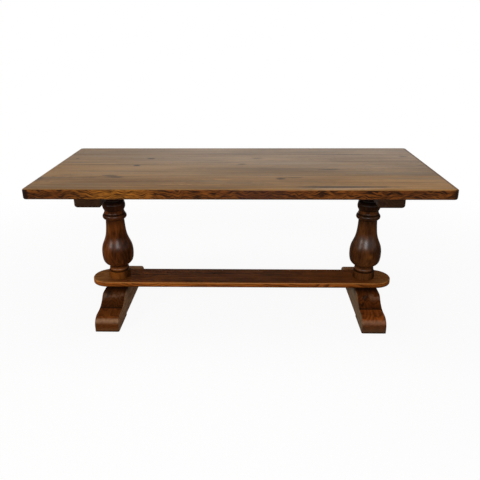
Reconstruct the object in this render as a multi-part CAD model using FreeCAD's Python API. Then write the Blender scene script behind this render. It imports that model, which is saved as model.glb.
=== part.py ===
import FreeCAD, Part
import math
import os

# Oak trestle table: a boarded top screwed to two cross bearers, two turned columns,
# a platform stretcher and two sled feet. Round wedged tenons hold the trestles together.
# Lengths are in millimetres. The origin is on the floor below the middle of the top,
# +X runs along the length to the right, -Y faces the front and +Z is up.

# Overall
TABLE_HEIGHT = 762.0
GLUE_LINE = 0.1
CUT_OVERRUN = 5.0
ON_PLANE = 0.001

# Top boards, named from the front edge to the back edge
TOP_LENGTH = 1880.0
TOP_THICKNESS = 47.0
# From a column's axis out to the end of the top
TOP_END_OVERHANG = 279.0
FRONT_BOARD_WIDTH = 232.0
FRONT_MIDDLE_BOARD_WIDTH = 226.0
BACK_MIDDLE_BOARD_WIDTH = 245.0
BACK_BOARD_WIDTH = 177.0
TOP_CORNER_RADIUS = 18.0
TOP_EDGE_RADIUS = 8.0
SEAM_WIDTH = 1.8
SEAM_DEPTH = 1.2

# Loose tongues in stopped grooves between the boards
TONGUE_THICKNESS = 10.0
TONGUE_WIDTH = 26.0
TONGUE_STOP = 70.0

# Cross bearers under the top, set back from its front and back edges
BEARER_SETBACK = 16.0
BEARER_WIDTH = 117.0
BEARER_THICKNESS = 44.0
BEARER_EDGE_RADIUS = 17.0

# Screws and washers that hold the top, two to a board, in slots that let the boards move
SCREW_RADIUS = 2.75
SCREW_HEAD_RADIUS = 5.5
SCREW_HEAD_HEIGHT = 3.5
SCREW_DRIVE_WIDTH = 1.4
SCREW_DRIVE_DEPTH = 1.6
SCREW_POINT_LENGTH = 6.0
SCREW_BITE = 26.0
SCREW_SPREAD = 64.0
SCREW_HOLE_CLEARANCE = 0.4
SCREW_SLOT_TRAVEL = 8.0
SCREW_POCKET_DEPTH = 14.0
SCREW_POCKET_CLEARANCE = 1.0
WASHER_RADIUS = 8.0
WASHER_THICKNESS = 1.6

# Platform stretcher with half-round ends, each a little way out from its column's axis
STRETCHER_END_OVERHANG = 143.0
STRETCHER_WIDTH = 179.0
STRETCHER_THICKNESS = 29.0
STRETCHER_TOP_EDGE_RADIUS = 7.0
STRETCHER_BOTTOM_EDGE_RADIUS = 4.0

# Sled feet
FOOT_LENGTH = 682.0
FOOT_WIDTH = 120.0
FOOT_HEIGHT = 124.0
FOOT_SEAT_LENGTH = 277.0
FOOT_TOE_HEIGHT = 75.0
FOOT_TOE_FACE_HEIGHT = 28.0
FOOT_PAD_LENGTH = 175.0
FOOT_RELIEF = 8.0
FOOT_EDGE_RADIUS = 8.0
FOOT_GROOVE_RADIUS = 4.0
# Places along the run from the seat's end to the tip of the toe
FOOT_GROOVE_SHARE = 0.47
FOOT_SCOOP_END_SHARE = 0.57
FOOT_TOE_ROUND_SHARE = 0.72
# How much of the scoop's two radii the rounded shoulder takes
FOOT_SHOULDER_SHARE = 0.28

# Dowels that keep the stretcher square on each foot
DOWEL_RADIUS = 6.0
DOWEL_SPREAD = 100.0
DOWEL_STRETCHER_DEPTH = 18.0
DOWEL_FOOT_DEPTH = 30.0

# Turned columns: radii and heights of the mouldings, from the stretcher up
TENON_RADIUS = 25.0
TENON_SETBACK = 0.5
DRUM_RADIUS = 56.0
DRUM_HEIGHT = 39.0
BASE_BEAD_RADIUS = 51.0
BASE_BEAD_HEIGHT = 18.0
BASE_BEAD_DEPTH = 6.0
WAIST_RADIUS = 44.5
WAIST_HEIGHT = 6.0
BELLY_RADIUS = 82.5
NECK_RADIUS = 47.5
RING_RADIUS = 62.0
RING_HEIGHT = 32.0
RING_DEPTH = 14.0
COVE_RADIUS = 51.0
COVE_HEIGHT = 20.0
COVE_CREST_DEPTH = 1.0
TORUS_RADIUS = 59.0
TORUS_HEIGHT = 31.0
TORUS_LIP_DEPTH = 1.5
CAP_QUIRK_DEPTH = 2.0
CAP_BEAD_RADIUS = 57.0
CAP_BEAD_HEIGHT = 15.0
THROAT_RADIUS = 47.5
THROAT_HEIGHT = 61.0
ABACUS_RADIUS = 58.0
ABACUS_HEIGHT = 24.0
FILLET_HEIGHT = 3.0
FILLET_DEPTH = 4.0
COLUMN_ARRIS = 2.0
# Vase outline: share of its height, and share of the swell from the waist to the belly
VASE_LOWER_SHARES = ((0.023, 0.25), (0.053, 0.52), (0.091, 0.755), (0.174, 0.945), (0.273, 1.0))
# Vase outline: share of its height, and share of the swell from the neck to the belly
VASE_UPPER_SHARES = ((0.375, 0.955), (0.451, 0.825), (0.527, 0.595), (0.621, 0.325), (0.754, 0.125))
TORUS_WIDEST_SHARE = 0.7

# Wedges driven into the tenons
WEDGE_LENGTH = 32.0
WEDGE_THICKNESS = 6.0
WEDGE_POINT = 1.5

# Spacing and lengths that follow from these
COLUMN_SPACING = TOP_LENGTH - 2 * TOP_END_OVERHANG
TOP_WIDTH = FRONT_BOARD_WIDTH + FRONT_MIDDLE_BOARD_WIDTH + BACK_MIDDLE_BOARD_WIDTH + BACK_BOARD_WIDTH
BEARER_LENGTH = TOP_WIDTH - 2 * BEARER_SETBACK
STRETCHER_LENGTH = COLUMN_SPACING + 2 * STRETCHER_END_OVERHANG

# Levels above the floor
STRETCHER_TOP = FOOT_HEIGHT + STRETCHER_THICKNESS
BOARD_UNDERSIDE = TABLE_HEIGHT - TOP_THICKNESS
BEARER_UNDERSIDE = BOARD_UNDERSIDE - BEARER_THICKNESS
POCKET_LEVEL = BEARER_UNDERSIDE + SCREW_POCKET_DEPTH

SIDES = {"left": -COLUMN_SPACING / 2, "right": COLUMN_SPACING / 2}
X_AXIS = FreeCAD.Vector(1, 0, 0)
Y_AXIS = FreeCAD.Vector(0, 1, 0)
Z_AXIS = FreeCAD.Vector(0, 0, 1)
ORIGIN = FreeCAD.Vector(0, 0, 0)


class Outline:
    """A closed outline in an upright plane, drawn from point to point as (across, up)."""

    def __init__(self, across_axis, *start):
        self.across_axis = across_axis
        self.start = self.place(start)
        self.end = self.start
        self.edges = []

    def place(self, point):
        across, up = point
        return self.across_axis * across + Z_AXIS * up

    def add(self, curve, end):
        self.edges.append(curve.toShape())
        self.end = end

    def line(self, *point):
        end = self.place(point)
        self.add(Part.LineSegment(self.end, end), end)

    def arc(self, through, point):
        end = self.place(point)
        self.add(Part.Arc(self.end, self.place(through), end), end)

    def corner(self, corner, point):
        """A quarter of an ellipse that rounds off the given corner."""
        end = self.place(point)
        curve = Part.BezierCurve()
        curve.setPoles([self.end, self.place(corner), end])
        curve.setWeight(2, math.cos(math.pi / 4))
        self.add(curve, end)

    def spline(self, points):
        end = self.place(points[-1])
        curve = Part.BSplineCurve()
        curve.interpolate([self.end] + [self.place(point) for point in points])
        self.add(curve, end)

    def face(self):
        self.line(self.start.dot(self.across_axis), self.start.dot(Z_AXIS))
        return Part.Face(Part.Wire(self.edges))


def block(centre_x, centre_y, bottom, length, width, height):
    """A box placed by the middle of its underside."""
    corner = FreeCAD.Vector(centre_x - length / 2, centre_y - width / 2, bottom)
    return Part.makeBox(length, width, height, corner)


def rod(centre_x, centre_y, bottom, radius, height):
    """An upright cylinder placed by the middle of its underside."""
    return Part.makeCylinder(radius, height, FreeCAD.Vector(centre_x, centre_y, bottom))


def round_ended(centre_x, centre_y, bottom, along, run, radius, height):
    """An upright bar with half-round ends, whose centres are a run apart."""
    centre = FreeCAD.Vector(centre_x, centre_y, bottom)
    near = centre - along * (run / 2)
    far = centre + along * (run / 2)
    tip = along * radius
    side = Z_AXIS.cross(along) * radius
    curves = [
        Part.LineSegment(near - side, far - side),
        Part.Arc(far - side, far + tip, far + side),
        Part.LineSegment(far + side, near + side),
        Part.Arc(near + side, near - tip, near - side),
    ]
    wire = Part.Wire([curve.toShape() for curve in curves])
    return Part.Face(wire).extrude(Z_AXIS * height)


def level_edges(shape, level):
    """The edges that lie flat at one level."""
    return [
        edge
        for edge in shape.Edges
        if abs(edge.BoundBox.ZMin - level) < ON_PLANE and abs(edge.BoundBox.ZMax - level) < ON_PLANE
    ]


def upright_edges(shape):
    """The straight edges that stand plumb."""
    return [edge for edge in shape.Edges if edge.BoundBox.XLength + edge.BoundBox.YLength < ON_PLANE]


def save(node, solids):
    """Writes one node, either one solid or a group of separate like solids."""
    shape = solids[0] if len(solids) == 1 else Part.makeCompound(solids)
    shape.exportStep(os.path.join("parts", node + ".step"))


def board_places():
    """The four boards of the top: name, front edge and back edge."""
    widths = {
        "front": FRONT_BOARD_WIDTH,
        "front_middle": FRONT_MIDDLE_BOARD_WIDTH,
        "back_middle": BACK_MIDDLE_BOARD_WIDTH,
        "back": BACK_BOARD_WIDTH,
    }
    front_edge = -TOP_WIDTH / 2
    places = []
    for name, width in widths.items():
        places.append((name, front_edge, front_edge + width))
        front_edge += width
    return places


BOARDS = board_places()
SEAMS = {"front": BOARDS[0][2], "middle": BOARDS[1][2], "back": BOARDS[2][2]}
BOARD_MIDDLES = [(front + back) / 2 for name, front, back in BOARDS]


def screw_places(column_x):
    """Two screws to each board, one on each side of the bearer's centre line."""
    offsets = (-SCREW_SPREAD / 2, SCREW_SPREAD / 2)
    return [(column_x + offset, middle) for middle in BOARD_MIDDLES for offset in offsets]


def tongue(seam, spare=0):
    """A loose tongue across one seam, or with some spare the groove that takes it."""
    middle_level = BOARD_UNDERSIDE + TOP_THICKNESS / 2
    thickness = TONGUE_THICKNESS + 2 * spare
    length = TOP_LENGTH - 2 * TONGUE_STOP + 2 * spare
    return block(0, seam, middle_level - thickness / 2, length, TONGUE_WIDTH + 2 * spare, thickness)


def seam_cut(seam):
    """The shallow V where the softened arrises of two boards meet."""
    outline = Outline(Y_AXIS, seam, TABLE_HEIGHT - SEAM_DEPTH)
    outline.line(seam + SEAM_WIDTH / 2, TABLE_HEIGHT)
    outline.line(seam + SEAM_WIDTH / 2, TABLE_HEIGHT + CUT_OVERRUN)
    outline.line(seam - SEAM_WIDTH / 2, TABLE_HEIGHT + CUT_OVERRUN)
    outline.line(seam - SEAM_WIDTH / 2, TABLE_HEIGHT)
    cut = outline.face().extrude(X_AXIS * TOP_LENGTH)
    cut.translate(X_AXIS * (-TOP_LENGTH / 2))
    return cut


def top_slab():
    """The whole top with round corners and softened edges, before it is parted into boards."""
    slab = block(0, 0, BOARD_UNDERSIDE, TOP_LENGTH, TOP_WIDTH, TOP_THICKNESS)
    slab = slab.makeFillet(TOP_CORNER_RADIUS, upright_edges(slab))
    arrises = level_edges(slab, TABLE_HEIGHT) + level_edges(slab, BOARD_UNDERSIDE)
    return slab.makeFillet(TOP_EDGE_RADIUS, arrises)


def top_boards():
    slab = top_slab()
    cuts = [seam_cut(seam) for seam in SEAMS.values()]
    cuts += [tongue(seam, GLUE_LINE) for seam in SEAMS.values()]
    for column_x in SIDES.values():
        for x, y in screw_places(column_x):
            bottom = BOARD_UNDERSIDE - CUT_OVERRUN
            depth = CUT_OVERRUN + SCREW_BITE + GLUE_LINE
            cuts.append(rod(x, y, bottom, SCREW_RADIUS + GLUE_LINE, depth))
    slab = slab.cut(cuts)
    for name, front, back in BOARDS:
        piece = block(0, (front + back) / 2, BOARD_UNDERSIDE, TOP_LENGTH, back - front, TOP_THICKNESS)
        save("top_board_" + name, slab.common(piece).Solids)


def tongues():
    for name, seam in SEAMS.items():
        save("tongue_" + name, [tongue(seam)])


def bearer(column_x):
    """A cross bearer with rounded lower edges, a tenon hole and slotted screw holes."""
    body = block(column_x, 0, BEARER_UNDERSIDE, BEARER_WIDTH, BEARER_LENGTH, BEARER_THICKNESS)
    body = body.makeFillet(BEARER_EDGE_RADIUS, level_edges(body, BEARER_UNDERSIDE))
    bottom = BEARER_UNDERSIDE - CUT_OVERRUN
    through = BEARER_THICKNESS + 2 * CUT_OVERRUN
    cuts = [rod(column_x, 0, bottom, TENON_RADIUS + GLUE_LINE, through)]
    slot_radius = SCREW_RADIUS + SCREW_HOLE_CLEARANCE
    pocket_radius = WASHER_RADIUS + SCREW_POCKET_CLEARANCE
    pocket_depth = CUT_OVERRUN + SCREW_POCKET_DEPTH
    for x, y in screw_places(column_x):
        cuts.append(round_ended(x, y, bottom, Y_AXIS, SCREW_SLOT_TRAVEL, slot_radius, through))
        cuts.append(round_ended(x, y, bottom, Y_AXIS, SCREW_SLOT_TRAVEL, pocket_radius, pocket_depth))
    return body.cut(cuts)


def screw(x, y):
    """A round-head slotted wood screw, driven upwards through the bearer."""
    head_level = POCKET_LEVEL - WASHER_THICKNESS
    point_level = BOARD_UNDERSIDE + SCREW_BITE
    crown_level = head_level - SCREW_HEAD_HEIGHT
    outline = Outline(X_AXIS, 0, crown_level)
    outline.corner((SCREW_HEAD_RADIUS, crown_level), (SCREW_HEAD_RADIUS, head_level))
    outline.line(SCREW_RADIUS, head_level)
    outline.line(SCREW_RADIUS, point_level - SCREW_POINT_LENGTH)
    outline.line(0, point_level)
    body = outline.face().revolve(ORIGIN, Z_AXIS, 360)
    drive_bottom = crown_level - CUT_OVERRUN
    drive_depth = CUT_OVERRUN + SCREW_DRIVE_DEPTH
    body = body.cut(block(0, 0, drive_bottom, 2 * SCREW_HEAD_RADIUS, SCREW_DRIVE_WIDTH, drive_depth))
    body.translate(FreeCAD.Vector(x, y, 0))
    return body


def washer(x, y):
    bottom = POCKET_LEVEL - WASHER_THICKNESS
    hole = rod(x, y, bottom, SCREW_RADIUS + SCREW_HOLE_CLEARANCE, WASHER_THICKNESS)
    return rod(x, y, bottom, WASHER_RADIUS, WASHER_THICKNESS).cut(hole)


def bearers_and_screws():
    for side, column_x in SIDES.items():
        save("bearer_" + side, [bearer(column_x)])
        save("top_screws_" + side, [screw(x, y) for x, y in screw_places(column_x)])
        save("top_washers_" + side, [washer(x, y) for x, y in screw_places(column_x)])


def vase_points(foot_level, height):
    """The bowl from the waist up to the belly, then the shoulder and the slender neck."""
    points = []
    for height_share, swell_share in VASE_LOWER_SHARES:
        radius = WAIST_RADIUS + swell_share * (BELLY_RADIUS - WAIST_RADIUS)
        points.append((radius, foot_level + height_share * height))
    for height_share, swell_share in VASE_UPPER_SHARES:
        radius = NECK_RADIUS + swell_share * (BELLY_RADIUS - NECK_RADIUS)
        points.append((radius, foot_level + height_share * height))
    points.append((NECK_RADIUS, foot_level + height))
    return points


def column_outline():
    """Half of a column's section: the lower tenon, the mouldings in order, the upper tenon."""
    drum_top = STRETCHER_TOP + DRUM_HEIGHT
    bead_foot = drum_top + FILLET_HEIGHT
    bead_top = bead_foot + BASE_BEAD_HEIGHT
    vase_foot = bead_top + WAIST_HEIGHT
    abacus_foot = BEARER_UNDERSIDE - ABACUS_HEIGHT
    throat_top = abacus_foot - FILLET_HEIGHT
    throat_foot = throat_top - THROAT_HEIGHT
    cap_bead_foot = throat_foot - CAP_BEAD_HEIGHT
    torus_top = cap_bead_foot - FILLET_HEIGHT
    torus_foot = torus_top - TORUS_HEIGHT
    cove_foot = torus_foot - COVE_HEIGHT
    ring_foot = cove_foot - RING_HEIGHT

    outline = Outline(X_AXIS, 0, FOOT_RELIEF + TENON_SETBACK)
    outline.line(TENON_RADIUS, FOOT_RELIEF + TENON_SETBACK)
    outline.line(TENON_RADIUS, STRETCHER_TOP)

    outline.line(DRUM_RADIUS, STRETCHER_TOP)
    outline.line(DRUM_RADIUS, drum_top - COLUMN_ARRIS)
    outline.corner((DRUM_RADIUS, drum_top), (DRUM_RADIUS - COLUMN_ARRIS, drum_top))

    bead_root = BASE_BEAD_RADIUS - BASE_BEAD_DEPTH
    outline.line(bead_root, drum_top)
    outline.line(bead_root, bead_foot)
    outline.arc((BASE_BEAD_RADIUS, (bead_foot + bead_top) / 2), (bead_root, bead_top))

    outline.line(WAIST_RADIUS, bead_top)
    outline.line(WAIST_RADIUS, vase_foot)
    outline.spline(vase_points(vase_foot, ring_foot - vase_foot))

    ring_root = RING_RADIUS - RING_DEPTH
    outline.line(ring_root, ring_foot)
    outline.arc((RING_RADIUS, (ring_foot + cove_foot) / 2), (ring_root, cove_foot))

    outline.line(COVE_RADIUS + FILLET_DEPTH, cove_foot)
    cove_crest = COVE_RADIUS + COVE_CREST_DEPTH
    outline.arc((COVE_RADIUS, (cove_foot + torus_foot) / 2), (cove_crest, torus_foot))

    torus_lip = TORUS_RADIUS - TORUS_LIP_DEPTH
    outline.arc((TORUS_RADIUS, torus_foot + TORUS_WIDEST_SHARE * TORUS_HEIGHT), (torus_lip, torus_top))

    cap_quirk = CAP_BEAD_RADIUS - CAP_QUIRK_DEPTH
    outline.line(cap_quirk, torus_top)
    outline.line(cap_quirk, cap_bead_foot)
    outline.line(CAP_BEAD_RADIUS, cap_bead_foot)
    outline.corner((CAP_BEAD_RADIUS, throat_foot), (THROAT_RADIUS, throat_foot))

    throat_lip = ABACUS_RADIUS - FILLET_DEPTH
    outline.corner((THROAT_RADIUS, throat_top), (throat_lip, throat_top))
    outline.line(throat_lip, abacus_foot)

    outline.line(ABACUS_RADIUS - COLUMN_ARRIS, abacus_foot)
    outline.corner((ABACUS_RADIUS, abacus_foot), (ABACUS_RADIUS, abacus_foot + COLUMN_ARRIS))
    outline.line(ABACUS_RADIUS, BEARER_UNDERSIDE)

    outline.line(TENON_RADIUS, BEARER_UNDERSIDE)
    outline.line(TENON_RADIUS, BOARD_UNDERSIDE - TENON_SETBACK)
    outline.line(0, BOARD_UNDERSIDE - TENON_SETBACK)
    return outline


def wedge(butt_level, point_level):
    """A tapered wedge across a tenon, thick at the butt and trimmed to the tenon's round."""
    outline = Outline(Y_AXIS, WEDGE_THICKNESS / 2, butt_level)
    outline.line(WEDGE_POINT / 2, point_level)
    outline.line(-WEDGE_POINT / 2, point_level)
    outline.line(-WEDGE_THICKNESS / 2, butt_level)
    body = outline.face().extrude(X_AXIS * (2 * TENON_RADIUS))
    body.translate(X_AXIS * -TENON_RADIUS)
    return body.common(rod(0, 0, min(butt_level, point_level), TENON_RADIUS, WEDGE_LENGTH))


def columns_and_wedges():
    upper_end = BOARD_UNDERSIDE - TENON_SETBACK
    lower_end = FOOT_RELIEF + TENON_SETBACK
    upper_wedge = wedge(upper_end, upper_end - WEDGE_LENGTH)
    lower_wedge = wedge(lower_end, lower_end + WEDGE_LENGTH)
    column = column_outline().face().revolve(ORIGIN, Z_AXIS, 360).cut([upper_wedge, lower_wedge])
    pieces = {"column_": column, "upper_wedge_": upper_wedge, "lower_wedge_": lower_wedge}
    for side, column_x in SIDES.items():
        for prefix, piece in pieces.items():
            save(prefix + side, [piece.translated(X_AXIS * column_x)])


def dowels(column_x, spare=0):
    """The two dowels between stretcher and foot, or with some spare their holes."""
    bottom = FOOT_HEIGHT - DOWEL_FOOT_DEPTH - spare
    height = DOWEL_FOOT_DEPTH + DOWEL_STRETCHER_DEPTH + 2 * spare
    places = (-DOWEL_SPREAD / 2, DOWEL_SPREAD / 2)
    return [rod(column_x, y, bottom, DOWEL_RADIUS + spare, height) for y in places]


def stretcher():
    """The platform board that ties the trestles, with both tenon holes and the dowel holes."""
    run = STRETCHER_LENGTH - STRETCHER_WIDTH
    body = round_ended(0, 0, FOOT_HEIGHT, X_AXIS, run, STRETCHER_WIDTH / 2, STRETCHER_THICKNESS)
    body = body.makeFillet(STRETCHER_TOP_EDGE_RADIUS, level_edges(body, STRETCHER_TOP))
    body = body.makeFillet(STRETCHER_BOTTOM_EDGE_RADIUS, level_edges(body, FOOT_HEIGHT))
    cuts = []
    for column_x in SIDES.values():
        bottom = FOOT_HEIGHT - CUT_OVERRUN
        height = STRETCHER_THICKNESS + 2 * CUT_OVERRUN
        cuts.append(rod(column_x, 0, bottom, TENON_RADIUS + GLUE_LINE, height))
        cuts += dowels(column_x, GLUE_LINE)
    return body.cut(cuts)


def half_foot():
    """The front half of a foot as seen from the side, from its middle out to the toe."""
    seat_end = FOOT_SEAT_LENGTH / 2
    tip = FOOT_LENGTH / 2
    toe_run = tip - seat_end
    scoop_end = seat_end + FOOT_SCOOP_END_SHARE * toe_run
    toe_round = seat_end + FOOT_TOE_ROUND_SHARE * toe_run

    # Two arcs that meet without a corner and are level at both ends
    fall = FOOT_HEIGHT - FOOT_TOE_HEIGHT
    reach = scoop_end - seat_end
    both_radii = (reach**2 + fall**2) / (2 * fall)
    shoulder_radius = FOOT_SHOULDER_SHARE * both_radii
    scoop_radius = both_radii - shoulder_radius
    turn = math.asin(reach / both_radii)

    def shoulder(angle):
        drop = shoulder_radius * (1 - math.cos(angle))
        return seat_end + shoulder_radius * math.sin(angle), FOOT_HEIGHT - drop

    def scoop(angle):
        rise = scoop_radius * (1 - math.cos(angle))
        return scoop_end - scoop_radius * math.sin(angle), FOOT_TOE_HEIGHT + rise

    outline = Outline(-Y_AXIS, 0, FOOT_RELIEF)
    outline.line(tip - FOOT_PAD_LENGTH, FOOT_RELIEF)
    outline.line(tip - FOOT_PAD_LENGTH, 0)
    outline.line(tip, 0)
    outline.line(tip, FOOT_TOE_FACE_HEIGHT)
    outline.corner((tip, FOOT_TOE_HEIGHT), (toe_round, FOOT_TOE_HEIGHT))
    outline.line(scoop_end, FOOT_TOE_HEIGHT)
    outline.arc(scoop(turn / 2), scoop(turn))
    outline.arc(shoulder(turn / 2), (seat_end, FOOT_HEIGHT))
    outline.line(0, FOOT_HEIGHT)
    body = outline.face().extrude(X_AXIS * FOOT_WIDTH)
    body.translate(X_AXIS * (-FOOT_WIDTH / 2))

    # The long arrises on both sides, from the floor at the toe up to the seat
    long_arrises = [
        edge
        for edge in body.Edges
        if edge.BoundBox.XLength < ON_PLANE
        and edge.BoundBox.ZMax > FOOT_RELIEF + ON_PLANE
        and edge.BoundBox.YMin < -ON_PLANE
    ]
    body = body.makeFillet(FOOT_EDGE_RADIUS, long_arrises)

    # A scratched groove across the lower part of the scoop
    groove_y = seat_end + FOOT_GROOVE_SHARE * toe_run
    groove_turn = math.asin((scoop_end - groove_y) / scoop_radius)
    groove_level = scoop(groove_turn)[1]
    groove_start = FreeCAD.Vector(-FOOT_WIDTH / 2, -groove_y, groove_level)
    return body.cut(Part.makeCylinder(FOOT_GROOVE_RADIUS, FOOT_WIDTH, groove_start, X_AXIS))


def feet_and_dowels():
    front_half = half_foot()
    whole = front_half.fuse(front_half.mirror(ORIGIN, Y_AXIS)).removeSplitter()
    for side, column_x in SIDES.items():
        tenon_hole = rod(column_x, 0, 0, TENON_RADIUS + GLUE_LINE, FOOT_HEIGHT)
        foot = whole.translated(X_AXIS * column_x).cut([tenon_hole] + dowels(column_x, GLUE_LINE))
        save("foot_" + side, foot.Solids)
        save("stretcher_dowels_" + side, dowels(column_x))


os.makedirs("parts", exist_ok=True)
top_boards()
tongues()
bearers_and_screws()
columns_and_wedges()
save("stretcher", [stretcher()])
feet_and_dowels()
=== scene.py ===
import math

import bpy
from mathutils import Matrix, Vector


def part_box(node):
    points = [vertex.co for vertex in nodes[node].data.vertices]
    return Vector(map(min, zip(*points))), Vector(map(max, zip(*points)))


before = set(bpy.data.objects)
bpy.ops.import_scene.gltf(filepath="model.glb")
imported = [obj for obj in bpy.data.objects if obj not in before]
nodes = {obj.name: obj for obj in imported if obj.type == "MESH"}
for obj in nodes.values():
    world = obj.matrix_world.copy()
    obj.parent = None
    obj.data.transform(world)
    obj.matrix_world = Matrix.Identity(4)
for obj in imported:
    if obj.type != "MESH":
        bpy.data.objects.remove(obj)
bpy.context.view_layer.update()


# Sled feet. Each is one block of oak, bandsawn to a scoop and a rounded toe at both ends, with a
# groove scratched across the scoop. The block is stained a reddish brown and waxed, polished by
# shoes on the turn of the toe, dirty in the groove and dusty on its sides and along the floor. The
# sides are also paler with a painted sheen, the brow of the scoop is rubbed paler with a painted
# sheen, the rear toe has a painted sheen and the turn of the toe a painted highlight. Painted shade
# lies under the stretcher and along the floor line.


class Shade:
    """A socket of a shader. Sums and products of sockets become Math nodes of the same material."""

    def __init__(self, tree, socket=None):
        self.tree = tree
        self.socket = socket

    def node(self, kind, settings, sockets, output=0):
        """A node of this kind, with its settings made first and then its sockets set or linked."""
        made = self.tree.nodes.new("ShaderNode" + kind)
        for key, value in settings.items():
            setattr(made, key, value)
        for key, value in sockets.items():
            if isinstance(value, Shade):
                self.tree.links.new(value.socket, made.inputs[key])
            else:
                made.inputs[key].default_value = value
        return Shade(self.tree, made.outputs[output] if made.outputs else None)

    def math(self, operation, *others):
        """A Math node of this socket and the others."""
        return self.node("Math", {"operation": operation}, dict(enumerate((self, *others))))

    def __add__(self, other):
        return self.math("ADD", other)

    __radd__ = __add__

    def __sub__(self, other):
        return self.math("SUBTRACT", other)

    def __rsub__(self, other):
        return self.node("Math", {"operation": "SUBTRACT"}, {0: other, 1: self})

    def __mul__(self, other):
        return self.math("MULTIPLY", other)

    __rmul__ = __mul__

    def __abs__(self):
        return self.math("ABSOLUTE")

    def rise(self, low, high):
        """0 up to low and 1 from high on, in an even curve; it falls where high is below low."""
        settings = {"interpolation_type": "SMOOTHSTEP"}
        return self.node("MapRange", settings, {"Value": self, "From Min": low, "From Max": high})

    def near(self, level, reach):
        """1 at this level, falling to 0 a reach away on both sides."""
        return abs(self - level).rise(reach, 0)

    def between(self, least, most):
        """This mask stretched, from least where it is 0 to most where it is 1."""
        return self * (most - least) + least

    def over(self, other):
        """The greater of two masks."""
        return self.math("MAXIMUM", other)

    def tint(self, none, full):
        """The colour none where this mask is 0, full where it is 1."""
        sockets = {"Factor": self, "A": none, "B": full}
        return self.node("Mix", {"data_type": "RGBA"}, sockets, "Result")

    def axes(self):
        """The three parts of a place."""
        split = self.node("SeparateXYZ", {}, {"Vector": self}).socket.node
        return [Shade(self.tree, part) for part in split.outputs]

    def noise(self, along, across, detail, roughness=0.5):
        """Noise with so many swings to the metre along the first axis and across it."""
        swings = (along, across, across)
        scaled = self.node("VectorMath", {"operation": "MULTIPLY"}, {0: self, 1: swings})
        sockets = {"Vector": scaled, "Scale": 1.0, "Detail": detail, "Roughness": roughness}
        return self.node("TexNoise", {}, sockets)


ALONG_X = (0, 0, 0)
ALONG_Y = (0, 0, math.radians(90))
ALONG_Z = (0, math.radians(-90), 0)
# Noises of the grain: swings to the metre along it and across it, detail and roughness
OAK_STREAKS = (1.6, 60, 4, 0.65)
OAK_PATCHES = (1.6, 5, 2)
OAK_PORES = (35, 900, 1)
OAK_SWERVE = (2.8, 11, 1.5)
OAK_RIPPLE = (16, 150, 1)
OAK_FRAYED = (40, 160, 2)
NOISE_MIDDLE = 0.5
PORE_RANGE = (0.55, 0.72)
RINGS_PER_METRE = 120
RINGS_OF_SWERVE = 13
RINGS_OF_RIPPLE = 0.5
RING_RANGE = (0.35, 0.95)
STREAK_SHARE = 0.6
STREAK_RANGE = (0.36, 0.64)
PORE_DARK = 0.35
SPOT_FRINGE = 3.5
SPOT_SOFTNESS = 0.7
FACING_BLEND = 0.5
FACING_RANGE = (0.45, 0.12)
PORE_DULLNESS = 0.15
PATCH_DULLNESS = 0.2
STREAK_HEIGHT = 0.5
RING_DEPTH = 0.2
PORE_DEPTH = 0.6
GRAIN_DEPTH = 0.0006


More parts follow.
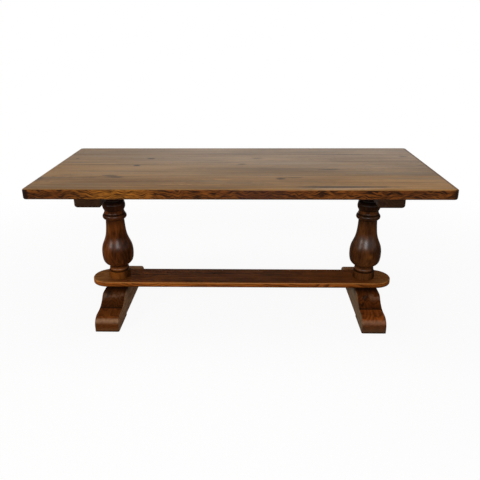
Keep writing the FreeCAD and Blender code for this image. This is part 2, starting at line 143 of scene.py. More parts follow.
class Oak:
    """One piece of oak, whose grain lies round a pith that runs along it through a given place."""

    def __init__(self, name, along, pith):
        self.material = bpy.data.materials.new(name)
        self.material.use_nodes = True
        self.tree = self.material.node_tree
        place = Shade(self.tree).node("TexCoord", {}, {}, "Object")
        self.x, self.y, self.z = place.axes()
        lie = {"Vector": place, "Location": pith, "Rotation": along}
        self.grain = place.node("Mapping", {"vector_type": "TEXTURE"}, lie)
        self.streaks = self.grain.noise(*OAK_STREAKS)
        self.patches = self.grain.noise(*OAK_PATCHES)
        self.pores = self.grain.noise(*OAK_PORES).rise(*PORE_RANGE)
        self.late = self.rings()

    def rings(self):
        """Late wood, in rings round the pith that slow noise puts out of line."""
        across, up = self.grain.axes()[1:]
        from_pith = (across * across + up * up).math("SQRT")
        swerve = self.grain.noise(*OAK_SWERVE) * RINGS_OF_SWERVE
        ripple = self.grain.noise(*OAK_RIPPLE) * RINGS_OF_RIPPLE
        return (from_pith * RINGS_PER_METRE + swerve + ripple).math("FRACT").rise(*RING_RANGE)

    def spot(self, x, y, length, width, depth):
        """A frayed mark on an upper face, with half its length along x and half its width along y."""
        fringe = (self.streaks - NOISE_MIDDLE) * (width * SPOT_FRINGE)
        fray = (self.grain.noise(*OAK_FRAYED) - NOISE_MIDDLE) * length
        blot = (self.x + fray).near(x, length) * (self.y + fringe).near(y, width)
        return blot.rise(0, SPOT_SOFTNESS) * depth

    def facing(self):
        """1 where the surface is seen squarely, where a thin coat of wax shines without a haze."""
        weight = self.x.node("LayerWeight", {}, {"Blend": FACING_BLEND}, "Facing")
        return weight.rise(*FACING_RANGE)

    def colour(self, pale, mid, deep, figure):
        """The wood's colour: streaked from mid to pale, with deep growth rings and pores."""
        streaks = self.streaks * STREAK_SHARE + self.patches * (1 - STREAK_SHARE)
        streaked = streaks.rise(*STREAK_RANGE).tint(mid, pale)
        ringed = (self.late * figure).tint(streaked, deep)
        return (self.pores * PORE_DARK).tint(ringed, deep)

    def finish(self, colour, wax, polish=None, coat=None):
        """Waxes the wood, polishes it where that mask is given, and gives the material back."""
        roughness, specular, relief = wax
        uneven = (NOISE_MIDDLE - self.patches) * PATCH_DULLNESS
        sheen = roughness + self.pores * PORE_DULLNESS + uneven
        hollows = self.late * RING_DEPTH + self.pores * PORE_DEPTH
        height = self.streaks * STREAK_HEIGHT - hollows
        sockets = {"Height": height, "Strength": relief, "Distance": GRAIN_DEPTH}
        bump = height.node("Bump", {}, sockets)
        surface = self.tree.nodes["Principled BSDF"]
        surface.inputs["Specular IOR Level"].default_value = specular
        feeds = {"Base Color": colour, "Roughness": sheen, "Normal": bump}
        if polish is not None:
            coat_ior, coat_roughness = coat
            surface.inputs["Coat IOR"].default_value = coat_ior
            surface.inputs["Coat Roughness"].default_value = coat_roughness
            feeds["Coat Weight"] = polish
        for socket, shade in feeds.items():
            self.tree.links.new(shade.socket, surface.inputs[socket])
        return self.material


def dress(node, material):
    """Gives a CAD node its finish."""
    mesh = nodes[node].data
    mesh.materials.clear()
    mesh.materials.append(material)


BASE_DEEP = (0.012, 0.0045, 0.002, 1)
BASE_DIRT_AND_SHADE = (0.01, 0.005, 0.003, 1)
# Roughness, specular level and relief of the waxed wood
BASE_WAX = (0.5, 0.003, 0.35)
# IOR and roughness of the coat where it is polished
BASE_COAT = (1.5, 0.33)
FOOT_PALE = {"left": (0.15, 0.041, 0.0075, 1), "right": (0.28, 0.068, 0.0105, 1)}
FOOT_MID = {"left": (0.075, 0.02, 0.0045, 1), "right": (0.13, 0.032, 0.0065, 1)}
FOOT_DUST_AND_SHEEN = {"left": (0.24, 0.13, 0.06, 1), "right": (0.17, 0.125, 0.072, 1)}
FOOT_WEAR_AND_SHEEN = (0.27, 0.145, 0.075, 1)
FOOT_BACK_SHEEN = (0.3, 0.165, 0.075, 1)
FOOT_PITHS = {"left": (-0.62, 0, 0.3), "right": (0.6, 3, 0.28)}
FOOT_FIGURE = 0.5
# Ranges over the foot: from its middle across, along it from the middle, and up from the floor
FOOT_SIDE = (0.055, 0.059)
FOOT_SCOOP = (0.25, 0.225)
FOOT_SCOOP_LEVEL = (0.06, 0.08)
FOOT_BACK_TOE = (0.22, 0.27)
FOOT_SHELTER = (0.145, 0.1)
FOOT_SHELTER_LEVEL = (0.08, 0.12)
FOOT_SOLE_LEVEL = (0.012, 0.002)
FOOT_TURN_LEVEL = (0.03, 0.045)
FOOT_FACE = (0.325, 0.34)
FOOT_FACE_LEVEL = (0.07, 0.05)
# Bands across the foot: their place from the middle and half their width
FOOT_GROOVE = (0.232, 0.009)
FOOT_TURN = (0.3285, 0.013)
FOOT_BROW = (0.165, 0.03)
# How strongly each part is darkened, dusted, rubbed or polished; some of these paint shade, sheen and
# highlights
FOOT_SCOOP_DARK = {"left": 0.6, "right": 0.65}
FOOT_FACE_DARK = {"left": 0.35, "right": 0.6}
FOOT_BACK_SHEEN_DEPTH = 0.6
FOOT_SIDE_DUST_AND_SHEEN = {"left": (0.2, 0.95), "right": (0.35, 0.95)}
FOOT_MOTTLE = (9, 75, 4, 0.7)
FOOT_MOTTLE_RANGE = (0.3, 0.62)
FOOT_DUST_LEVEL = {"left": 0.03, "right": 0.055}
FOOT_FLOOR_DUST = {"left": 0.35, "right": 0.5}
FOOT_SOLE_DIRT_AND_SHADE = 0.7
FOOT_SHELTER_SHADE = 0.8
FOOT_TURN_HIGHLIGHT = {"left": 0.75, "right": 0.4}
FOOT_TURN_STREAKS = (0.3, 0.6)
FOOT_TURN_SPREAD = (0.6, 1.0)
FOOT_TURN_POLISH = 0.35
FOOT_BROW_RUB = (20, 30, 2)
FOOT_BROW_RANGE = (0.4, 0.6)
FOOT_BROW_POLISH = 0.6
FOOT_BROW_WEAR_AND_SHEEN = 0.3
# Knots on each scoop: place along x and y, half the length and width, and depth
FOOT_KNOTS = {
    "left": [(-0.689, -0.155, 0.02, 0.02, 0.8)],
    "right": [(0.643, -0.168, 0.022, 0.022, 0.75), (0.62, -0.203, 0.02, 0.018, 0.7)],
}

for side, pith in FOOT_PITHS.items():
    wood = Oak("foot_oak_" + side, ALONG_Y, pith)
    low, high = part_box("foot_" + side)
    middle = (low[0] + high[0]) / 2
    flank = abs(wood.x - middle).rise(*FOOT_SIDE)
    reach = abs(wood.y)
    scoop_level = wood.z.rise(*FOOT_SCOOP_LEVEL) * (1 - flank)
    colour = wood.colour(FOOT_PALE[side], FOOT_MID[side], BASE_DEEP, FOOT_FIGURE)
    scoop = reach.rise(*FOOT_SCOOP) * scoop_level
    colour = (scoop * FOOT_SCOOP_DARK[side]).tint(colour, BASE_DEEP)
    # Painted sheen: the rear toe is tinted paler
    colour = (wood.y.rise(*FOOT_BACK_TOE) * FOOT_BACK_SHEEN_DEPTH).tint(colour, FOOT_BACK_SHEEN)
    # The sides are paler with dust and a painted sheen, and dust lies along the floor
    mottle = wood.grain.noise(*FOOT_MOTTLE).rise(*FOOT_MOTTLE_RANGE)
    side_dust_and_sheen = flank * mottle.between(*FOOT_SIDE_DUST_AND_SHEEN[side])
    floor_dust = wood.z.rise(FOOT_DUST_LEVEL[side], 0) * FOOT_FLOOR_DUST[side]
    colour = side_dust_and_sheen.over(floor_dust).tint(colour, FOOT_DUST_AND_SHEEN[side])
    # The brow of the scoop is rubbed paler, which also paints a sheen there
    brow = reach.near(*FOOT_BROW) * wood.grain.noise(*FOOT_BROW_RUB).rise(*FOOT_BROW_RANGE)
    brow = brow * FOOT_BROW_POLISH
    colour = (brow * FOOT_BROW_WEAR_AND_SHEEN).tint(colour, FOOT_WEAR_AND_SHEEN)
    face = reach.rise(*FOOT_FACE) * wood.z.rise(*FOOT_FACE_LEVEL)
    colour = (face * FOOT_FACE_DARK[side]).tint(colour, BASE_DEEP)
    # Painted highlight: a pale band along the turn of the toe
    turn = reach.near(*FOOT_TURN) * wood.z.rise(*FOOT_TURN_LEVEL) * (1 - flank)
    pale_band = turn * wood.streaks.rise(*FOOT_TURN_STREAKS).between(*FOOT_TURN_SPREAD)
    colour = (pale_band * FOOT_TURN_HIGHLIGHT[side]).tint(colour, FOOT_WEAR_AND_SHEEN)
    # Dirt in the groove, dark knots, painted shade under the stretcher, dirt and painted shade at the
    # sole
    sheltered = reach.rise(*FOOT_SHELTER) * wood.z.rise(*FOOT_SHELTER_LEVEL)
    darkening = (reach.near(*FOOT_GROOVE) * scoop_level).over(sheltered * FOOT_SHELTER_SHADE)
    darkening = darkening.over(wood.z.rise(*FOOT_SOLE_LEVEL) * FOOT_SOLE_DIRT_AND_SHADE)
    for knot in FOOT_KNOTS[side]:
        darkening = darkening.over(wood.spot(*knot))
    colour = darkening.tint(colour, BASE_DIRT_AND_SHADE)
    polish = (turn * FOOT_TURN_POLISH).over(brow) * wood.facing()
    dress("foot_" + side, wood.finish(colour, BASE_WAX, polish, BASE_COAT))


# Dowels between the feet and the stretcher. Plain oak pegs, cut from rod and glued into drilled
# holes, two to a foot. They were never stained, so they keep the pale colour of raw oak.

SIDES = ("left", "right")
RAW_PALE = (0.5, 0.36, 0.2, 1)
RAW_MID = (0.42, 0.28, 0.15, 1)
RAW_DEEP = (0.25, 0.15, 0.07, 1)
RAW_FIGURE = 0.4
RAW_SURFACE = (0.65, 0.2, 0.35)
RAW_PITH = (0, 0, 0)

wood = Oak("raw_oak", ALONG_Z, RAW_PITH)
raw_oak = wood.finish(wood.colour(RAW_PALE, RAW_MID, RAW_DEEP, RAW_FIGURE), RAW_SURFACE)
for side in SIDES:
    dress("stretcher_dowels_" + side, raw_oak)


# Stretcher. One wide oak board with half-round ends, laid flat on the feet and held by the columns'
# tenons. Shoes have rubbed its ends and upper arris pale, and the front edge keeps an orange stain.
# The arris also carries a painted highlight, and painted shade darkens the lower arris and underside.

STRETCHER_PALE = (0.19, 0.056, 0.0115, 1)
STRETCHER_MID = (0.06, 0.019, 0.0055, 1)
STRETCHER_RUBBED = (0.28, 0.115, 0.032, 1)
STRETCHER_ARRIS_WEAR_AND_HIGHLIGHT = (0.34, 0.138, 0.033, 1)
STRETCHER_EDGE_PALE = (0.36, 0.1, 0.014, 1)
STRETCHER_EDGE_MID = (0.2, 0.053, 0.008, 1)
STRETCHER_PITH = (5, 0.05, 0.25)
STRETCHER_FIGURE = 0.5
STRETCHER_EDGE_FIGURE = 0.7
STRETCHER_PATCHES = (5, 12, 3, 0.6)
# Half the straight run between the round ends
STRETCHER_HALF_RUN = 0.7145
STRETCHER_FACE_LEVEL = (0.148, 0.152)
STRETCHER_UNDER_LEVEL = (0.134, 0.126)
STRETCHER_UNDER_SHADE = 0.7
# A warmer stretch to the right: where it begins, where it is full, and how strong it is
STRETCHER_WARM_RUN = (0.1, 0.45)
STRETCHER_WARMTH = 0.12
# Rubbed ends: where each begins and where it is full, with the right one fainter
STRETCHER_LEFT_END = (-0.64, -0.76)
STRETCHER_RIGHT_END = (0.64, 0.78)
STRETCHER_RIGHT_WEAR = 0.8
STRETCHER_SCUFFS = (14, 40, 3, 0.65)
STRETCHER_SCUFF_RANGE = (0.35, 0.6)
STRETCHER_SCUFF_SPREAD = (0.35, 0.95)
# The upper arris: its place from the middle line, its level, and half its width
STRETCHER_ARRIS_PLACE = (0.0885, 0.004)
STRETCHER_ARRIS_LEVEL = (0.149, 0.004)
STRETCHER_ARRIS_STREAKS = (0.3, 0.5)
STRETCHER_ARRIS_POLISH = 0.2

wood = Oak("stretcher_oak", ALONG_X, STRETCHER_PITH)
wood.patches = wood.grain.noise(*STRETCHER_PATCHES)
face = wood.colour(STRETCHER_PALE, STRETCHER_MID, BASE_DEEP, STRETCHER_FIGURE)
warmth = wood.x.rise(*STRETCHER_WARM_RUN) * STRETCHER_WARMTH
face = warmth.tint(face, STRETCHER_EDGE_PALE)
ends = wood.x.rise(*STRETCHER_LEFT_END)
ends = ends.over(wood.x.rise(*STRETCHER_RIGHT_END) * STRETCHER_RIGHT_WEAR)
scuffs = wood.grain.noise(*STRETCHER_SCUFFS).rise(*STRETCHER_SCUFF_RANGE)
face = (ends * scuffs.between(*STRETCHER_SCUFF_SPREAD)).tint(face, STRETCHER_RUBBED)
edge = wood.colour(STRETCHER_EDGE_PALE, STRETCHER_EDGE_MID, BASE_DEEP, STRETCHER_EDGE_FIGURE)
colour = wood.z.rise(*STRETCHER_FACE_LEVEL).tint(edge, face)
past_run = (abs(wood.x) - STRETCHER_HALF_RUN).over(0)
from_middle = (past_run * past_run + wood.y * wood.y).math("SQRT")
# The upper arris is rubbed pale and carries a painted highlight
arris = from_middle.near(*STRETCHER_ARRIS_PLACE) * wood.z.near(*STRETCHER_ARRIS_LEVEL)
colour = (arris * wood.streaks.rise(*STRETCHER_ARRIS_STREAKS)).tint(colour, STRETCHER_ARRIS_WEAR_AND_HIGHLIGHT)
# Painted shade: the lower arris and the underside are darker
under = wood.z.rise(*STRETCHER_UNDER_LEVEL) * STRETCHER_UNDER_SHADE
colour = under.tint(colour, BASE_DEEP)
polish = arris * wood.facing() * STRETCHER_ARRIS_POLISH
dress("stretcher", wood.finish(colour, BASE_WAX, polish, BASE_COAT))


# Columns. Turned from solid oak blanks, with a round tenon at each end that is split and wedged.
# Hands have polished the bellies and the crests of the mouldings. Wax and dirt lie dark in the
# quirks between them, and the drums are rubbed orange. Painted shade darkens the quirks too, the
# heads under the top, the neck under the ring and the right side of the mouldings.

COLUMN_PALE = {"left": (0.119, 0.0315, 0.006, 1), "right": (0.094, 0.031, 0.0077, 1)}
COLUMN_MID = {"left": (0.0265, 0.0076, 0.0022, 1), "right": (0.026, 0.0088, 0.0032, 1)}
COLUMN_RUBBED = (0.22, 0.068, 0.01, 1)
COLUMN_SHADE = (0.005, 0.0028, 0.002, 1)
COLUMN_WAX = (0.4, 0.006, 0.12)
COLUMN_PITHS = {"left": (-0.71, 0.06, 0), "right": (0.73, 0.04, 4)}
COLUMN_PLACES = {"left": -0.661, "right": 0.661}
COLUMN_FIGURE = 0.28
COLUMN_PATCHES = (7, 20, 3, 0.6)
COLUMN_STREAK_SHARE = 0.5
COLUMN_DRUM_LEVEL = (0.216, 0.208)
COLUMN_DRUM_STREAKS = (0.25, 0.6)
COLUMN_DRUM_RUB = {"left": 0.55, "right": 0.08}
# A patch rubbed orange on each column: place along x, place up, half the width and height, strength
COLUMN_GLOW = {
    "left": (-0.69, 0.435, 0.016, 0.06, 0.45),
    "right": (0.672, 0.297, 0.02, 0.025, 0.4),
}
# Dark bands round the column: painted shade under the ring and the mouldings, and dark lines in
# the quirks, where wax and dirt lie and painted shade deepens them: level, half the height, strength
COLUMN_BANDS = [
    (0.1935, 0.004, 0.9),
    (0.221, 0.006, 0.9),
    (0.4815, 0.007, 0.9),
    (0.482, 0.045, 0.45),
    (0.498, 0.02, 0.5),
    (0.511, 0.007, 0.9),
    (0.537, 0.008, 0.9),
]
# Shade towards the top: the level where it begins, the level where it is full, strength
COLUMN_HEAD_SHADES = [(0.534, 0.545, 0.65), (0.567, 0.572, 0.9)]
# Painted shade: the right side of the mouldings at the head and the foot is darker, away from the
# light
COLUMN_HEAD_LEVEL = (0.475, 0.485)
COLUMN_FOOT_LEVEL = (0.222, 0.216)
COLUMN_SHADED_SIDE = (0.015, 0.06)
COLUMN_SHADED_SIDE_DEPTH = 0.6
# Where hands polish it: level, half the height, strength
COLUMN_BELLY = {"left": (0.353, 0.045, 0.42), "right": (0.366, 0.055, 0.6)}
COLUMN_CRESTS = [
    (0.206, 0.012, 0.45),
    (0.505, 0.01, 0.3),
    (0.517, 0.006, 0.3),
    (0.5645, 0.004, 0.4),
    (0.582, 0.006, 0.4),
]

for side, pith in COLUMN_PITHS.items():
    wood = Oak("column_oak_" + side, ALONG_Z, pith)
    wood.patches = wood.grain.noise(*COLUMN_PATCHES)
    patchy = wood.patches * (1 - COLUMN_STREAK_SHARE)
    wood.streaks = wood.streaks * COLUMN_STREAK_SHARE + patchy
    colour = wood.colour(COLUMN_PALE[side], COLUMN_MID[side], BASE_DEEP, COLUMN_FIGURE)
    drum = wood.z.rise(*COLUMN_DRUM_LEVEL) * wood.streaks.rise(*COLUMN_DRUM_STREAKS)
    x, z, half_width, half_height, strength = COLUMN_GLOW[side]
    glow = wood.x.near(x, half_width) * wood.z.near(z, half_height) * strength
    colour = (drum * COLUMN_DRUM_RUB[side]).over(glow).tint(colour, COLUMN_RUBBED)
    mouldings = wood.z.rise(*COLUMN_HEAD_LEVEL).over(wood.z.rise(*COLUMN_FOOT_LEVEL))
    # Painted shade on the right side of the mouldings, in bands under them and in the quirks, and at
    # the head
    shaded_side = (wood.x - COLUMN_PLACES[side]).rise(*COLUMN_SHADED_SIDE) * mouldings
    shaded = shaded_side * COLUMN_SHADED_SIDE_DEPTH
    for level, half_height, strength in COLUMN_BANDS:
        shaded = shaded.over(wood.z.near(level, half_height) * strength)
    for start, end, strength in COLUMN_HEAD_SHADES:
        shaded = shaded.over(wood.z.rise(start, end) * strength)
    colour = shaded.tint(colour, COLUMN_SHADE)
    level, half_height, strength = COLUMN_BELLY[side]
    polish = wood.z.near(level, half_height) * strength
    for level, half_height, strength in COLUMN_CRESTS:
        polish = polish.over(wood.z.near(level, half_height) * strength)
    polish = polish * wood.facing()
    dress("column_" + side, wood.finish(colour, COLUMN_WAX, polish, BASE_COAT))


# Cross bearers. Oak rails under the top with rounded lower edges, stained nearly black, with the
# columns' tenons wedged in them and slotted pockets for the screws.

BEARER_PALE = (0.037, 0.0178, 0.0085, 1)
BEARER_MID = (0.024, 0.0113, 0.0056, 1)
BEARER_DEEP = (0.008, 0.004, 0.003, 1)
BEARER_WAX = (0.6, 0.004, 0.35)
BEARER_PITHS = {"left": (-0.6, 5, 0.9), "right": (0.7, 8, 0.85)}
BEARER_FIGURE = 0.5

for side, pith in BEARER_PITHS.items():
    wood = Oak("bearer_oak_" + side, ALONG_Y, pith)
    colour = wood.colour(BEARER_PALE, BEARER_MID, BEARER_DEEP, BEARER_FIGURE)
    dress("bearer_" + side, wood.finish(colour, BEARER_WAX))


# Wedges. Thin tapers of raw oak, driven with glue into the split tenons at both ends of each column.
# The tenons spread and lock, above in the bearers and below in the stretcher and the feet.

for side in SIDES:
    dress("upper_wedge_" + side, raw_oak)
    dress("lower_wedge_" + side, raw_oak)


# Tongues. Loose strips of raw oak in stopped grooves, glued across the three seams of the top, where
# they keep the boards level. Nothing of them shows once the boards are joined.

SEAMS = ("front", "middle", "back")

for seam in SEAMS:
    dress("tongue_" + seam, raw_oak)


# Top. Four wide oak boards, tongued together and screwed to the bearers. The upper face is rubbed
# pale and waxed, with knots, dark streaks and dirt in the seams, and a painted sheen towards the
# back and the right. The edges keep the orange stain over a wild flame figure, with painted shade
# at the corners and along the lower arris.

TOP_PALE = {
    "front": (0.265, 0.138, 0.042, 1),
    "front_middle": (0.235, 0.125, 0.037, 1),
    "back_middle": (0.25, 0.133, 0.038, 1),
    "back": (0.225, 0.118, 0.031, 1),
}
TOP_MID = {
    "front": (0.115, 0.054, 0.015, 1),
    "front_middle": (0.1, 0.05, 0.013, 1),
    "back_middle": (0.11, 0.055, 0.015, 1),
    "back": (0.095, 0.046, 0.011, 1),
}
TOP_DEEP = (0.055, 0.028, 0.011, 1)
TOP_WARM = (0.3, 0.15, 0.038, 1)
TOP_WORN = (0.34, 0.22, 0.125, 1)
TOP_GREY = (0.115, 0.08, 0.047, 1)
TOP_SHEEN_TINT = (0.28, 0.235, 0.2, 1)
TOP_STAIN = (0.026, 0.0175, 0.0115, 1)
TOP_WAX = (0.4, 0.03, 0.35)
TOP_COAT = (1.3, 0.55)
TOP_PITHS = {
    "front": (0, -0.33, 0.66),
    "front_middle": (3, -0.08, 0.63),
    "back_middle": (6, 0.13, 0.9),
    "back": (9, 0.36, 0.64),
}
TOP_FIGURE = 0.35
TOP_FACE_LEVEL = (0.759, 0.7606)
# A warmer stretch of each board: where it begins, where it is full, and how strong it is
TOP_WARM_RUN = {
    "front": (0.0, 0.8, 0.45),
    "front_middle": (0.1, -0.8, 0.42),
    "back_middle": (0.0, -0.9, 0.25),
    "back": (0.0, -0.9, 0.1),
}
TOP_DARK_STREAKS = (1.3, 24, 4, 0.65)
TOP_DARK_RANGE = (0.52, 0.7)
TOP_DARK_DEPTH = 0.55
TOP_GREY_STREAKS = (2.2, 34, 3)
TOP_GREY_RANGE = (0.5, 0.72)
TOP_GREY_DEPTH = 0.6
# Painted sheen: the upper face is tinted paler and greyer towards the back and the right
TOP_HAZE_DEPTH = 0.26
TOP_HAZE_BACK = (-0.5, 0.35)
TOP_HAZE_RIGHT = (-1.2, 0.0)
TOP_HAZE_RIGHT_SPREAD = (0.5, 1.0)
TOP_HAZE_PATCHES = (0.75, 1.25)
# The arris of the right end is tinted towards the edge's colour and gets no coat
TOP_END_ARRIS = (0.92, 0.931)
TOP_END_ARRIS_DEPTH = 0.75
# Places worn pale and dark marks: place along x and y, half the length and width, and depth
TOP_WEAR = {
    "front": [(0.44, -0.425, 0.22, 0.012, 0.7)],
    "front_middle": [],
    "back_middle": [],
    "back": [],
}
TOP_MARKS = {
    "front": [
        (0.19, -0.256, 0.035, 0.02, 0.95),
        (0.25, -0.238, 0.07, 0.013, 0.7),
        (0.46, -0.395, 0.32, 0.024, 0.85),
        (0.335, -0.392, 0.1, 0.034, 0.6),
        (-0.58, -0.228, 0.065, 0.017, 0.95),
        (-0.928, -0.266, 0.03, 0.03, 0.7),
        (0.786, -0.204, 0.08, 0.015, 0.8),
    ],
    "front_middle": [
        (-0.525, 0.002, 0.024, 0.02, 1.0),
        (-0.615, -0.203, 0.06, 0.015, 0.8),
        (0.438, -0.081, 0.08, 0.014, 0.75),
        (-0.813, -0.192, 0.07, 0.018, 0.25),
        (0.902, 0.012, 0.02, 0.014, 0.7),
    ],
    "back_middle": [
        (-0.481, 0.161, 0.03, 0.016, 0.95),
        (-0.877, 0.166, 0.016, 0.014, 0.85),
        (0.084, 0.175, 0.04, 0.018, 0.95),
        (0.006, 0.035, 0.03, 0.016, 0.8),
        (0.867, 0.212, 0.035, 0.026, 0.6),
        (0.54, 0.261, 0.24, 0.013, 0.8),
    ],
    "back": [(0.54, 0.265, 0.24, 0.013, 0.8)],
}
# The front and back sides of each board, and the dirt along them
TOP_BOARD_SIDES = {
    "front": (-0.44, -0.208),
    "front_middle": (-0.208, 0.018),
    "back_middle": (0.018, 0.263),
    "back": (0.263, 0.44),
}
SEAM_HALF_WIDTH = 0.005
SEAM_DIRT = (7, 3, 2)
SEAM_DIRT_RANGE = (0.4, 0.65)
SEAM_DIRT_SPREAD = (0.15, 0.7)
# The wax shines more towards the back and the right, and in the streaks
TOP_SHINE_BACK = (-0.44, 0.35)
TOP_SHINE_BACK_SPREAD = (0.12, 0.6)
TOP_SHINE_RIGHT = (-0.95, -0.3)
TOP_SHINE_RIGHT_SPREAD = (0.3, 1.0)
TOP_SHINE_STREAKS = (0.6, 1.4)
EDGE_PALE = (0.165, 0.05, 0.0085, 1)
EDGE_MID = (0.07, 0.0195, 0.004, 1)
EDGE_DEEP = (0.011, 0.0042, 0.0022, 1)
EDGE_GLOW = (0.32, 0.118, 0.014, 1)
EDGE_DUSK = (0.035, 0.0125, 0.0085, 1)
EDGE_WORN = (0.3, 0.15, 0.055, 1)
EDGE_FIGURE = 0.94
# The flame figure: slow noise lifts and drops the fine strokes that run along the edge
FLAME_SWIRL = (15, 12, 1.5)
FLAME_LIFT = 0.065
FLAME_STROKES = (24, 370, 1.5, 0.55)
FLAME_RANGE = (0.44, 0.56)
# The ends show growth rings in place of the flame
END_GRAIN = (0.935, 0.9385)
# A stretch of the edge glows between the strokes: its middle and half its length
EDGE_GLOW_RUN = (-0.53, 0.26)
EDGE_GLOW_DEPTH = 0.65
EDGE_GLOW_STROKES = 0.85
# Dusky stretches of the edge: the middle, half the length, and strength
EDGE_DUSK_RUNS = [(0.1, 0.25, 0.6), (0.8, 0.2, 0.2)]
EDGE_ARRIS_LEVEL = (0.759, 0.0025)
EDGE_ARRIS_PATCHES = (0.4, 0.6)
EDGE_ARRIS_WEAR = 0.7
EDGE_END = (0.934, 0.939)
EDGE_END_DARK = 0.3
# Painted shade at the corners of the edge and along its lower arris
EDGE_LEFT_CORNER = (-0.908, -0.917)
EDGE_RIGHT_CORNER = (0.9, 0.934)
EDGE_CORNER_FROM_MIDDLE = (0.38, 0.43)
EDGE_CORNER_SHADE = 0.93
EDGE_LOW_LEVEL = (0.722, 0.716)
EDGE_LOW_SHADE = 0.7
UNDER_PALE = (0.17, 0.085, 0.036, 1)
UNDER_MID = (0.1, 0.048, 0.02, 1)
UNDER_LEVEL = (0.7165, 0.7153)

for board, pith in TOP_PITHS.items():
    wood = Oak("board_oak_" + board, ALONG_X, pith)
    face = wood.z.rise(*TOP_FACE_LEVEL)
    lifted = wood.z + wood.grain.noise(*FLAME_SWIRL) * FLAME_LIFT
    strokes = wood.x.node("CombineXYZ", {}, {"X": wood.x, "Y": wood.y, "Z": lifted})
    flame = strokes.noise(*FLAME_STROKES).rise(*FLAME_RANGE)
    ringed = face.over(abs(wood.x).rise(*END_GRAIN))
    wood.late = flame + ringed * (wood.late - flame)

    edge = wood.colour(EDGE_PALE, EDGE_MID, EDGE_DEEP, EDGE_FIGURE)
    glow = wood.x.near(*EDGE_GLOW_RUN) * (1 - wood.late * EDGE_GLOW_STROKES)
    edge = (glow * EDGE_GLOW_DEPTH).tint(edge, EDGE_GLOW)
    for middle, half_length, strength in EDGE_DUSK_RUNS:
        edge = (wood.x.near(middle, half_length) * strength).tint(edge, EDGE_DUSK)
    pale_band = wood.z.near(*EDGE_ARRIS_LEVEL) * wood.patches.rise(*EDGE_ARRIS_PATCHES)
    edge = (pale_band * EDGE_ARRIS_WEAR).tint(edge, EDGE_WORN)
    edge = (abs(wood.x).rise(*EDGE_END) * EDGE_END_DARK).tint(edge, EDGE_DEEP)
    # Painted shade: the corners of the edge and its lower arris are darkened
    corner = wood.x.rise(*EDGE_LEFT_CORNER).over(wood.x.rise(*EDGE_RIGHT_CORNER))
    corner = corner * abs(wood.y).rise(*EDGE_CORNER_FROM_MIDDLE) * EDGE_CORNER_SHADE
    low = wood.z.rise(*EDGE_LOW_LEVEL) * EDGE_LOW_SHADE
    edge = corner.over(low).tint(edge, EDGE_DEEP)
    under = wood.colour(UNDER_PALE, UNDER_MID, TOP_DEEP, TOP_FIGURE)
    edge = wood.z.rise(*UNDER_LEVEL).tint(edge, under)

    upper = wood.colour(TOP_PALE[board], TOP_MID[board], TOP_DEEP, TOP_FIGURE)
    start, end, strength = TOP_WARM_RUN[board]
    upper = (wood.x.rise(start, end) * strength).tint(upper, TOP_WARM)
    dark = wood.grain.noise(*TOP_DARK_STREAKS).rise(*TOP_DARK_RANGE)
    upper = (dark * TOP_DARK_DEPTH).tint(upper, TOP_DEEP)
    grey = wood.grain.noise(*TOP_GREY_STREAKS).rise(*TOP_GREY_RANGE)
    upper = (grey * TOP_GREY_DEPTH).tint(upper, TOP_GREY)
    # Painted sheen, paler and greyer towards the back and the right
    painted_sheen = wood.y.rise(*TOP_HAZE_BACK) * wood.patches.between(*TOP_HAZE_PATCHES)
    painted_sheen = painted_sheen * wood.x.rise(*TOP_HAZE_RIGHT).between(*TOP_HAZE_RIGHT_SPREAD)
    upper = (painted_sheen * TOP_HAZE_DEPTH).tint(upper, TOP_SHEEN_TINT)
    end_arris = wood.x.rise(*TOP_END_ARRIS)
    upper = (end_arris * TOP_END_ARRIS_DEPTH).tint(upper, EDGE_MID)
    for wear in TOP_WEAR[board]:
        upper = wood.spot(*wear).tint(upper, TOP_WORN)
    front, back = TOP_BOARD_SIDES[board]
    seams = wood.y.near(front, SEAM_HALF_WIDTH).over(wood.y.near(back, SEAM_HALF_WIDTH))
    darkening = wood.grain.noise(*SEAM_DIRT).rise(*SEAM_DIRT_RANGE)
    marks = seams * darkening.between(*SEAM_DIRT_SPREAD)
    for mark in TOP_MARKS[board]:
        marks = marks.over(wood.spot(*mark))
    upper = marks.tint(upper, TOP_STAIN)

    shine = wood.y.rise(*TOP_SHINE_BACK).between(*TOP_SHINE_BACK_SPREAD)
    shine = shine * wood.x.rise(*TOP_SHINE_RIGHT).between(*TOP_SHINE_RIGHT_SPREAD)
    shine = shine * wood.streaks.between(*TOP_SHINE_STREAKS) * face * (1 - end_arris)
    dress("top_board_" + board, wood.finish(face.tint(edge, upper), TOP_WAX, shine, TOP_COAT))


# Screws and washers. Steel wood screws with slotted heads, zinc plated and dulled by age. They are
# driven up through slots in the bearers into the boards, with a washer under each head.

STEEL_BRIGHT = (0.5, 0.48, 0.45, 1)
STEEL_DULL = (0.3, 0.29, 0.28, 1)
STEEL_SPECKS = (300, 300, 3)
STEEL_SPECK_RANGE = (0.35, 0.7)
STEEL_ROUGHNESS = (0.3, 0.55)
STEEL_RELIEF = 0.3
STEEL_PIT_DEPTH = 0.0002
STEEL_METALLIC = 1.0

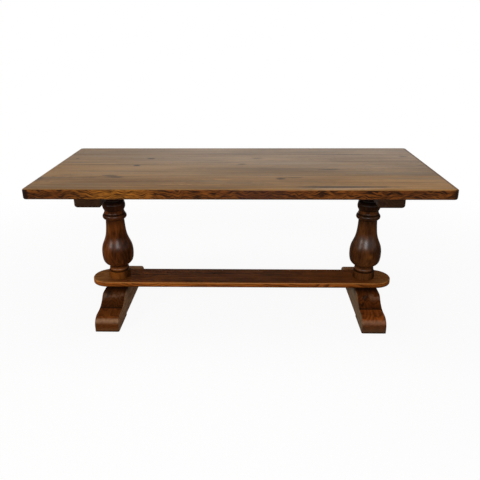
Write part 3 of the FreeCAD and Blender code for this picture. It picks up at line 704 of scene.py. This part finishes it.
steel = bpy.data.materials.new("zinc_steel")
steel.use_nodes = True
plating = steel.node_tree.nodes["Principled BSDF"]
plating.inputs["Metallic"].default_value = STEEL_METALLIC
place = Shade(steel.node_tree).node("TexCoord", {}, {}, "Object")
dulled = place.noise(*STEEL_SPECKS).rise(*STEEL_SPECK_RANGE)
sockets = {"Height": dulled, "Strength": STEEL_RELIEF, "Distance": STEEL_PIT_DEPTH}
feeds = {
    "Base Color": dulled.tint(STEEL_BRIGHT, STEEL_DULL),
    "Roughness": dulled.between(*STEEL_ROUGHNESS),
    "Normal": dulled.node("Bump", {}, sockets),
}
for socket, shade in feeds.items():
    steel.node_tree.links.new(shade.socket, plating.inputs[socket])
for side in SIDES:
    dress("top_screws_" + side, steel)
    dress("top_washers_" + side, steel)


# Floor and surround. A pale painted floor that keeps the table's shadow near it and fades to white
# further out, in a white studio that adds a little even light.

FLOOR_SIZE = 60.0
FLOOR_PAINT = (0.7, 0.7, 0.7, 1)
FLOOR_LIFT = (0.93, 1.0)
FLOOR_FADE = (1.2, 3.0)
WHITE = (1, 1, 1, 1)
WHITE_STRENGTH = 1.0
STUDIO_STRENGTH = 0.2


def seen_rays(tree):
    """1 for the rays in which the surround itself is seen."""
    path = Shade(tree).node("LightPath", {}, {}, "Is Camera Ray")
    rays = path.socket.node.outputs
    mirrored = Shade(tree, rays["Is Glossy Ray"]) + Shade(tree, rays["Is Transmission Ray"])
    return (path + mirrored).math("MINIMUM", 1.0)


bpy.ops.mesh.primitive_plane_add(size=FLOOR_SIZE)
floor = bpy.context.object
floor.name = "floor"
floor_paint = bpy.data.materials.new("pale_floor")
floor_paint.use_nodes = True
floor_paint.node_tree.nodes.clear()
seen = seen_rays(floor_paint.node_tree)
place = seen.node("TexCoord", {}, {}, "Object")
distance = place.node("VectorMath", {"operation": "LENGTH"}, {"Vector": place}, "Value")
lift = seen * distance.rise(*FLOOR_FADE).between(*FLOOR_LIFT)
paint = place.node("BsdfDiffuse", {}, {"Color": FLOOR_PAINT})
white = place.node("Emission", {}, {"Color": WHITE, "Strength": WHITE_STRENGTH})
mixed = place.node("MixShader", {}, {0: lift, 1: paint, 2: white})
mixed.node("OutputMaterial", {}, {"Surface": mixed})
floor.data.materials.append(floor_paint)

scene = bpy.context.scene
scene.world = bpy.data.worlds.new("studio")
scene.world.use_nodes = True
scene.world.node_tree.nodes.clear()
seen = seen_rays(scene.world.node_tree)
light = seen.node("Background", {}, {"Color": WHITE, "Strength": STUDIO_STRENGTH})
white = seen.node("Background", {}, {"Color": WHITE, "Strength": WHITE_STRENGTH})
mixed = seen.node("MixShader", {}, {0: seen, 1: light, 2: white})
mixed.node("OutputWorld", {}, {"Surface": mixed})


# Lamps. A wide cool lamp over the camera, a warm window to the left, a low fill behind the table
# and a broad soft lamp overhead. Each is a plain rectangle that faces its target.

# Place, target, width and height in metres, power in watts, and colour
LAMPS = {
    "camera_lamp": ((0.1, -3.0, 1.7), (0, 0, 0.45), 1.2, 0.5, 52, (0.97, 0.98, 1.0)),
    "window": ((-2.8, -2.3, 1.6), (0, 0, 0.45), 0.6, 0.7, 42, (1.0, 0.96, 0.9)),
    "back_fill": ((-0.3, 3.6, 0.36), (0, 0, 0.3), 2.0, 0.4, 36, (1.0, 0.99, 0.97)),
    "overhead": ((0, -0.2, 3.2), (0, 0, 0.7), 2.4, 1.4, 44, (1.0, 0.99, 0.97)),
}

for name, (place, target, width, height, power, tone) in LAMPS.items():
    light = bpy.data.lights.new(name, "AREA")
    light.shape = "RECTANGLE"
    light.size = width
    light.size_y = height
    light.energy = power
    light.color = tone
    lamp = bpy.data.objects.new(name, light)
    scene.collection.objects.link(lamp)
    lamp.location = place
    lamp.rotation_euler = (Vector(target) - Vector(place)).to_track_quat("-Z", "Y").to_euler()


# Camera. It stands where the photograph was taken from: its place, its angles and its lens were
# fitted together with the table's main sizes.

CAMERA_PLACE = (0.0552, -2.6461, 1.3880)
CAMERA_TILT = math.radians(68.78)
CAMERA_TURN = math.radians(1.30)
CAMERA_ROLL = math.radians(-0.287)
CAMERA_LENS = 40.127
CAMERA_SENSOR = 36.0

lens = bpy.data.cameras.new("camera")
lens.lens = CAMERA_LENS
lens.sensor_width = CAMERA_SENSOR
camera = bpy.data.objects.new("camera", lens)
scene.collection.objects.link(camera)
turned = Matrix.Rotation(CAMERA_TURN, 4, "Z") @ Matrix.Rotation(CAMERA_TILT, 4, "X")
rolled = turned @ Matrix.Rotation(CAMERA_ROLL, 4, "Z")
camera.matrix_world = Matrix.Translation(CAMERA_PLACE) @ rolled
scene.camera = camera
scene.view_settings.view_transform = "Standard"
